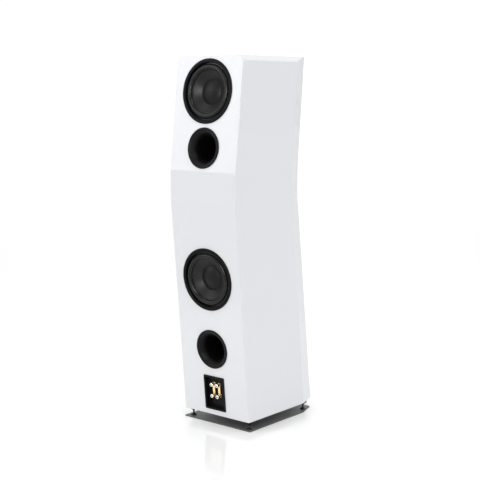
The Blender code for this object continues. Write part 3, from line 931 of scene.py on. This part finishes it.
def make_base():
    points = points_of("base_plate")
    low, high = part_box("base_plate")
    bottom = {(round(x, 5), round(y, 5)) for x, y, z in points if z < low.z + 1e-5 and x > 0}
    half = sorted(bottom, key=lambda c: -c[1])
    corners = mirrored(half)
    radii = (0.004, 0.010, 0.006, 0.006, 0.010, 0.004)
    rounding = 0.0006

    def outline(distance, z):
        rounded = filleted([(*c, r) for c, r in zip(inset(corners, distance), radii)], True, 6)
        return [(x, y, z) for x, y in rounded]

    part_way = rounding * 0.3
    rings = [
        outline(rounding, low.z), outline(part_way, low.z + part_way), outline(0, low.z + rounding),
        outline(0, high.z - rounding), outline(part_way, high.z - part_way), outline(rounding, high.z),
    ]
    piece("base_plate_gloss", loft(rings), ["plate"], stands_for=["base_plate"])
    for where in ("rear_left", "rear_right", "front_left", "front_right"):
        low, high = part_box(f"spike_{where}")
        centre = (low + high) / 2
        tall = (high.z - low.z) / MM
        wide = (high.x - low.x) / 2 / MM
        profile = [(0, tall), (wide - 0.5, tall), (wide, tall - 0.4), (wide, tall - 3.2)]
        for k in range(1, 13):
            share = 1 - k / 12
            profile.append((2.4 + (wide - 2.6) * share**1.7, 0.9 + (tall - 4.2) * share))
        profile += [(2.0, 0.3), (1.4, 0), (0, 0)]
        piece(
            f"spike_{where}_trumpet", turned(profile, 64), ["foot"],
            place=Matrix.Translation((centre.x, centre.y, low.z)), stands_for=[f"spike_{where}"],
        )
        low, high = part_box(f"spike_shoe_{where}")
        tall = (high.z - low.z) / MM
        wide = (high.x - low.x) / 2 / MM
        profile = [
            (0, tall), (2.4, tall, 0.3), (2.9, tall - 0.9, 1), (4.0, tall - 4.4, 4),
            (wide - 1.6, tall - 7.8, 2), (wide, tall - 9.2, 0.6), (wide, 0.3, 0.2), (wide - 0.3, 0, 0.1),
            (0, 0),
        ]
        piece(
            f"spike_shoe_{where}_cup", turned(filleted(profile, False), 64), ["foot"],
            place=Matrix.Translation((centre.x, centre.y, low.z)), stands_for=[f"spike_shoe_{where}"],
        )


# Stage


WORLD_BASE = 0.70
WORLD_GLOWS = (  # direction, how narrow, strength
    ((0, 0, 1), 1.0, 0.285),
    ((0.647, -0.763, 0), 24.0, 0.60),
)


CAMERA_PLACE = (-2.3074, 2.7496, 1.1025)
CAMERA_YAW, CAMERA_PITCH, CAMERA_ROLL = 40.292, 7.899, -0.078  # degrees
CAMERA_LENS = 80.57  # mm, on a 36 mm sensor


def make_camera():
    camera = bpy.data.cameras.new("camera")
    camera.lens = CAMERA_LENS
    camera.sensor_width = 36.0
    camera.clip_start = 0.05
    camera.clip_end = 100.0
    obj = bpy.data.objects.new("camera", camera)
    bpy.context.scene.collection.objects.link(obj)
    yaw, pitch, roll = (math.radians(a) for a in (CAMERA_YAW, CAMERA_PITCH, CAMERA_ROLL))
    ahead = Vector((math.sin(yaw) * math.cos(pitch), -math.cos(yaw) * math.cos(pitch), -math.sin(pitch)))
    turn = ahead.to_track_quat("-Z", "Y").to_matrix().to_4x4() @ Matrix.Rotation(roll, 4, "Z")
    obj.matrix_world = Matrix.Translation(CAMERA_PLACE) @ turn
    bpy.context.scene.camera = obj


def area_light(name, place, target, size, power, spread):
    """A soft box, which lights a cone of that many degrees about its target."""
    light = bpy.data.lights.new(name, "AREA")
    light.shape = "RECTANGLE"
    light.size, light.size_y = size
    light.energy = power
    light.spread = math.radians(spread)
    obj = bpy.data.objects.new(name, light)
    bpy.context.scene.collection.objects.link(obj)
    direction = Vector(target) - Vector(place)
    obj.matrix_world = Matrix.Translation(place) @ direction.to_track_quat("-Z", "Y").to_matrix().to_4x4()
    obj.visible_camera = False
    return obj


def make_world():
    """White all round, brighter overhead and in the part of the sky behind the object."""
    world = bpy.data.worlds.new("studio")
    bpy.context.scene.world = world
    world.use_nodes = True
    nodes, links = world.node_tree.nodes, world.node_tree.links
    direction = nodes.new("ShaderNodeTexCoord").outputs["Generated"]
    total = None
    for towards, power, strength in WORLD_GLOWS:
        facing = nodes.new("ShaderNodeVectorMath")
        facing.operation = "DOT_PRODUCT"
        links.new(direction, facing.inputs[0])
        facing.inputs[1].default_value = towards
        source = facing.outputs["Value"]
        for operation, value in (("MAXIMUM", 0.0), ("POWER", power), ("MULTIPLY", strength)):
            step = nodes.new("ShaderNodeMath")
            step.operation = operation
            links.new(source, step.inputs[0])
            step.inputs[1].default_value = value
            source = step.outputs[0]
        add = nodes.new("ShaderNodeMath")
        add.operation = "ADD"
        links.new(source, add.inputs[0])
        if total is None:
            add.inputs[1].default_value = WORLD_BASE
        else:
            links.new(total, add.inputs[1])
        total = add.outputs[0]
    links.new(total, nodes["Background"].inputs["Strength"])
    nodes["Background"].inputs["Color"].default_value = (1.0, 1.0, 1.0, 1.0)


def make_stage():
    make_world()
    area_light("key", (2.6, 3.2, 2.4), (0, 0.2, 1.15), (2.6, 2.6), 3.7, 45)
    area_light("zenith", (1.6, 2.2, 5.6), (0, 0.2, 0.8), (2.4, 2.4), 2.7, 60)
    area_light("high", (-3.0, 1.2, 4.8), (0, 0, 1.0), (2.0, 2.0), 4.6, 50)
    area_light("behind", (-0.4, -2.2, 2.6), (-0.6, -1.2, 0), (3.0, 2.0), 5.8, 140)
    window = area_light("window", (-1.2, 3.4, 1.5), (0, 0.2, 0.8), (0.6, 1.5), 60.0, 180)
    window.visible_diffuse = False
    floor = bmesh.new()
    bmesh.ops.create_grid(floor, x_segments=1, y_segments=1, size=20.0)
    mesh = bpy.data.meshes.new("floor")
    floor.to_mesh(mesh)
    floor.free()
    obj = bpy.data.objects.new("floor", mesh)
    bpy.context.scene.collection.objects.link(obj)
    obj.location.z = -0.0002
    paint = bpy.data.materials.new("floor_white")
    paint.use_nodes = True
    shader = paint.node_tree.nodes["Principled BSDF"]
    shader.inputs["Base Color"].default_value = (0.96, 0.96, 0.96, 1.0)
    shader.inputs["Roughness"].default_value = 0.12
    shader.inputs["Emission Color"].default_value = (1.0, 1.0, 1.0, 1.0)
    shader.inputs["Emission Strength"].default_value = 0.06
    mesh.materials.append(paint)
    bpy.context.scene.view_settings.view_transform = "Standard"


make_camera()
make_shell()
for unit in ("woofer_lower", "woofer_upper"):
    make_drive_unit(unit, True)
for unit in ("mid_lower", "mid_upper"):
    make_drive_unit(unit, False)
make_tweeter()
make_ports()
make_terminals()
make_inside()
make_base()
make_stage()
